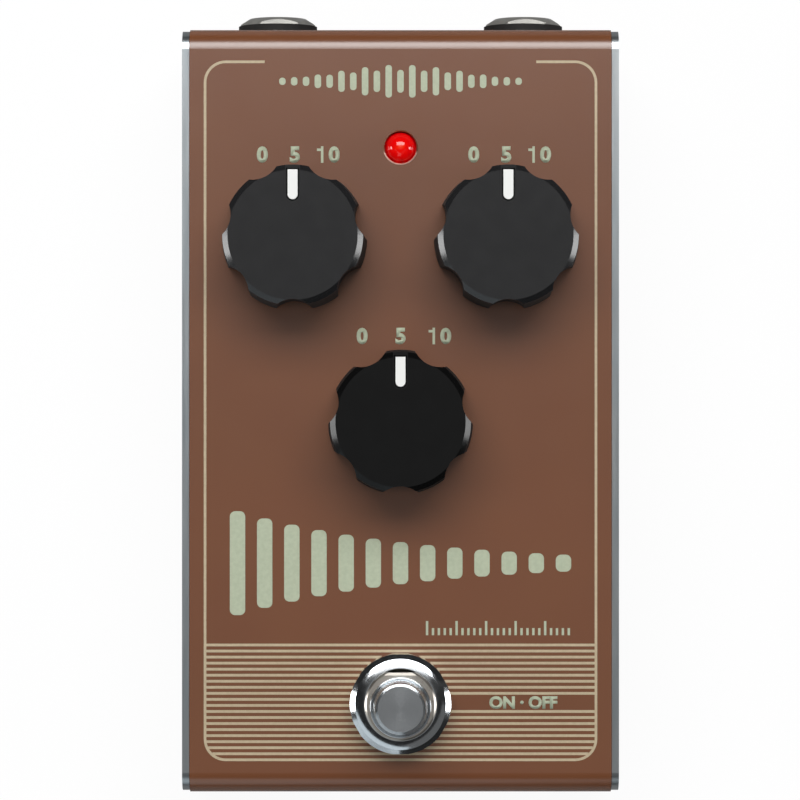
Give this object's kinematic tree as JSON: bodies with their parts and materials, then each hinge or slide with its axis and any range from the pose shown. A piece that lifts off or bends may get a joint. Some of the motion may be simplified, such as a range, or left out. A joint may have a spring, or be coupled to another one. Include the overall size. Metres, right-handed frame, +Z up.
{
  "type": "analog delay pedal",
  "caption": "Folded sheet-metal guitar delay pedal with fluted pointer knobs, a status light, a sprung footswitch, rear jacks, a power socket and a battery inside.",
  "frame": {"origin": "middle of the pedal's outline, at the level of the rubber feet's underside", "axes": "+X to the player's right, +Y to the rear wall with the jacks, +Z up through the face"},
  "size_m": [0.074, 0.1328, 0.05],
  "materials": {
    "cover_paint": "satin brown metallic paint on folded sheet steel",
    "bare_sheet": "bare cold-rolled sheet",
    "zinc_steel": "zinc-plated steel",
    "foot_rubber": "matt black rubber",
    "wafer_laminate": "phenolic laminate",
    "nickel_plate": "nickel plate",
    "red_lens": "red tinted clear epoxy",
    "spacer_nylon": "natural nylon",
    "switch_moulding": "blue thermoset moulding",
    "plunger_chrome": "turned and chrome-plated",
    "nut_chrome": "bright chrome plate",
    "spring_steel": "drawn music wire",
    "contact_brass": "tinned brass",
    "board_laminate": "green solder mask on glass laminate",
    "ribbon_vinyl": "grey vinyl",
    "washer_fibre": "black fibre",
    "socket_moulding": "black moulded nylon",
    "chip_epoxy": "moulded epoxy",
    "capacitor_sleeve": "shrunk vinyl sleeve",
    "film_epoxy": "dipped epoxy",
    "resistor_lacquer": "blue lacquer",
    "trimmer_blue": "blue moulding",
    "trimmer_white": "white moulding",
    "battery_can": "printed metal jacket",
    "snap_vinyl": "black vinyl",
    "pad_foam": "closed-cell foam",
    "knob_plastic": "moulded black plastic",
    "pointer_white": "moulded white plastic",
    "shaft_aluminium": "turned aluminium",
    "pot_shell": "moulded housing"
  },
  "bodies": {
    "case": {"top_cover": "cover_paint", "base_tray": "bare_sheet", "base_screws": "zinc_steel", "clinch_nuts": "zinc_steel", "rubber_feet": "foot_rubber", "pot_wafers": "wafer_laminate", "pot_washers": "nickel_plate", "pot_nuts": "nickel_plate", "status_led": "red_lens", "led_spacer": "spacer_nylon", "footswitch_body": "switch_moulding", "footswitch_bushing": "nickel_plate", "footswitch_spring": "spring_steel", "footswitch_lower_nut": "nickel_plate", "footswitch_lock_washer": "nickel_plate", "footswitch_dress_nut": "nut_chrome", "footswitch_lugs": "contact_brass", "switch_board": "board_laminate", "ribbon_cable": "ribbon_vinyl", "jack_washers": "washer_fibre", "jack_nuts": "nut_chrome", "dc_socket_body": "socket_moulding", "dc_socket_pin": "contact_brass", "dc_socket_contact": "contact_brass", "main_board": "board_laminate", "delay_chips": "chip_epoxy", "support_chips": "chip_epoxy", "electrolytic_capacitors": "capacitor_sleeve", "film_capacitors": "film_epoxy", "resistors": "resistor_lacquer", "voltage_regulator": "chip_epoxy", "battery": "battery_can", "battery_terminals": "zinc_steel", "battery_snap": "snap_vinyl", "battery_leads": "snap_vinyl", "battery_pad": "pad_foam", "time_pot_body": "pot_shell", "mix_pot_body": "pot_shell", "repeats_pot_body": "pot_shell", "input_jack_body": "socket_moulding", "input_jack_bushing": "nickel_plate", "input_jack_contacts": "contact_brass", "output_jack_body": "socket_moulding", "output_jack_bushing": "nickel_plate", "output_jack_contacts": "contact_brass", "bias_trimmer_body": "trimmer_blue", "clock_trimmer_body": "trimmer_blue"},
    "time_dial": {"time_knob": "knob_plastic", "time_pointer": "pointer_white", "time_shaft": "shaft_aluminium"},
    "mix_dial": {"mix_knob": "knob_plastic", "mix_pointer": "pointer_white", "mix_shaft": "shaft_aluminium"},
    "repeats_dial": {"repeats_knob": "knob_plastic", "repeats_pointer": "pointer_white", "repeats_shaft": "shaft_aluminium"},
    "footswitch_button": {"footswitch_plunger": "plunger_chrome"},
    "bias_rotor": {"bias_trimmer_rotor": "trimmer_white"},
    "clock_rotor": {"clock_trimmer_rotor": "trimmer_white"}
  },
  "joints": [
    {"name": "time_turn", "type": "hinge", "parent": "case", "child": "time_dial", "pos_m": [-0.0179, 0.0276, 0.035], "axis": [0, 0, 1], "range_deg": [-150, 150]},
    {"name": "mix_turn", "type": "hinge", "parent": "case", "child": "mix_dial", "pos_m": [0.0179, 0.0276, 0.035], "axis": [0, 0, 1], "range_deg": [-150, 150]},
    {"name": "repeats_turn", "type": "hinge", "parent": "case", "child": "repeats_dial", "pos_m": [0, -0.0035, 0.035], "axis": [0, 0, 1], "range_deg": [-150, 150]},
    {"name": "footswitch_press", "type": "slide", "parent": "case", "child": "footswitch_button", "axis": [0, 0, -1], "range_m": [0, 0.0028], "stiffness_N_per_m": 3000, "springref_m": -0.004, "deforming": ["footswitch_spring"]},
    {"name": "bias_trim", "type": "hinge", "parent": "case", "child": "bias_rotor", "pos_m": [-0.007, 0.0239, 0.0215], "axis": [0, 0, 1], "range_deg": [-130, 130]},
    {"name": "clock_trim", "type": "hinge", "parent": "case", "child": "clock_rotor", "pos_m": [0.007, 0.0239, 0.0215], "axis": [0, 0, 1], "range_deg": [-130, 130]}
  ]
}
